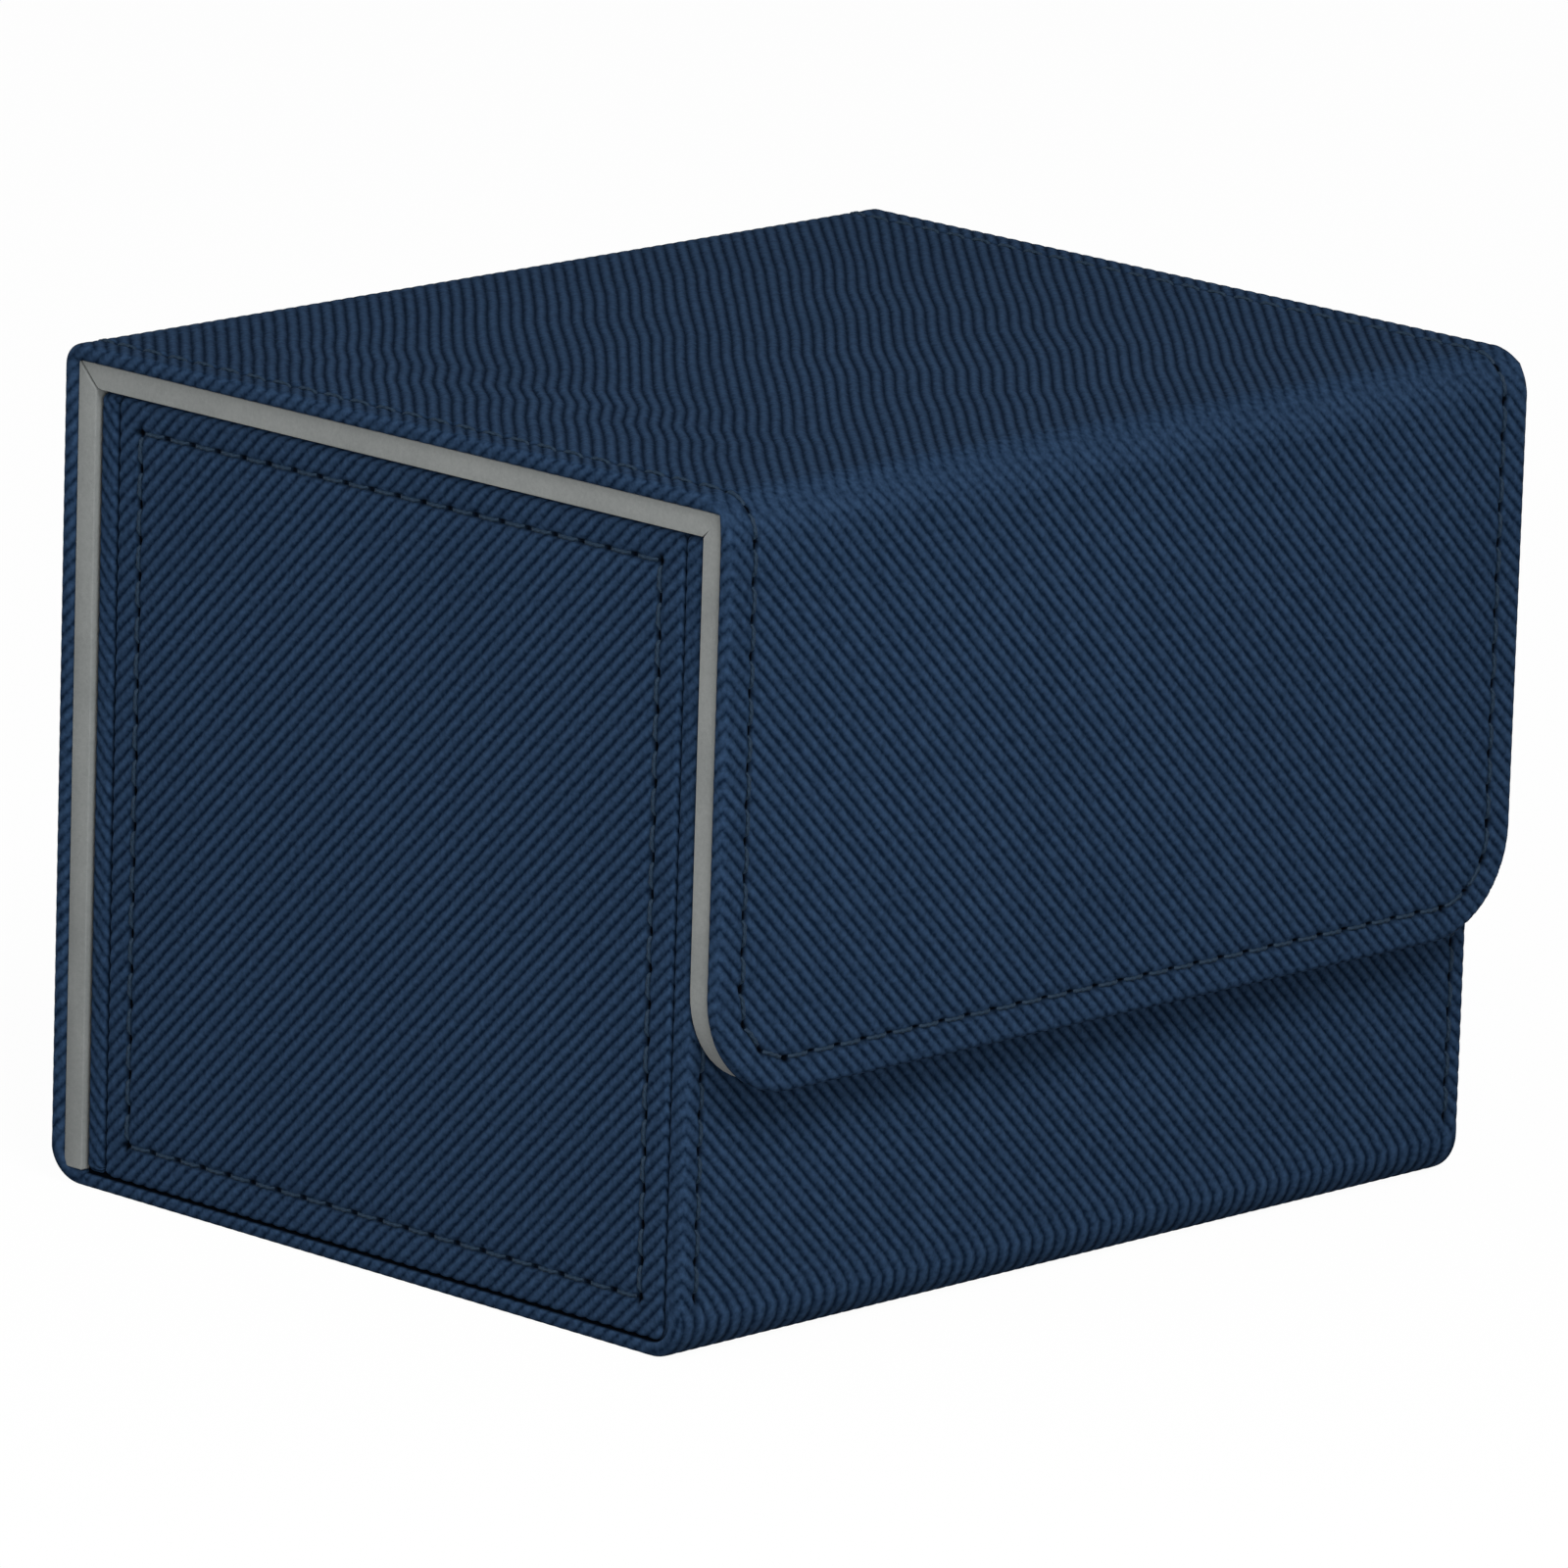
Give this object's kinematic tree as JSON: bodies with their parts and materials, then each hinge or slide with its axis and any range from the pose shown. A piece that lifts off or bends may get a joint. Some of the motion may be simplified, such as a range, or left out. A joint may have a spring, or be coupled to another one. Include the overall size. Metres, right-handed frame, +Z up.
{
  "type": "card storage box",
  "caption": "Side-opening card box: a leather-covered tray with a wrap-around lid hinged on a leather fold and a front flap held by hidden magnets.",
  "frame": {"origin": "middle of the footprint on the table, at the underside of the base", "axes": "+X along the front towards the right-hand end, +Y towards the rear panel, +Z up"},
  "size_m": [0.106, 0.0868, 0.0802],
  "materials": {
    "navy_leather": "matte ribbed",
    "navy_thread": "twisted thread",
    "grey_microfibre": "soft matte",
    "grey_board": "matte",
    "nickel": "satin"
  },
  "bodies": {
    "tray": {"base_leather": "navy_leather", "front_foot_leather": "navy_leather", "front_leather": "navy_leather", "tray_rear_leather": "navy_leather", "left_end_leather": "navy_leather", "right_end_leather": "navy_leather", "rear_foot_leather": "navy_leather", "rear_leather": "navy_leather", "rear_fold_leather": "navy_leather", "base_board": "grey_board", "front_board": "grey_board", "tray_rear_board": "grey_board", "left_end_board": "grey_board", "right_end_board": "grey_board", "floor_lining": "grey_microfibre", "front_lining": "grey_microfibre", "tray_rear_lining": "grey_microfibre", "left_lining": "grey_microfibre", "right_lining": "grey_microfibre", "rear_stiffener": "grey_board", "rear_panel_board": "grey_board", "rear_panel_lining": "grey_microfibre", "tray_magnets": "nickel", "left_end_stitching": "navy_thread", "right_end_stitching": "navy_thread", "front_stitching": "navy_thread", "rear_stitching": "navy_thread"},
    "lid": {"lid_leather": "navy_leather", "lid_stiffener": "grey_board", "lid_board": "grey_board", "lid_lining": "grey_microfibre", "lid_stitching": "navy_thread", "front_fold_leather": "navy_leather"},
    "flap": {"flap_leather": "navy_leather", "flap_stiffener": "grey_board", "flap_board": "grey_board", "flap_lining": "grey_microfibre", "flap_magnets": "nickel", "flap_stitching": "navy_thread"}
  },
  "joints": [
    {"name": "lid_hinge", "type": "hinge", "parent": "tray", "child": "lid", "pos_m": [0, 0.04219, 0.07899], "axis": [-1, 0, 0], "range_deg": [0, 180], "deforming": ["rear_fold_leather"]},
    {"name": "flap_hinge", "type": "hinge", "parent": "lid", "child": "flap", "pos_m": [0, -0.04186, 0.07866], "axis": [-1, 0, 0], "range_deg": [0, 180], "deforming": ["front_fold_leather"]}
  ]
}
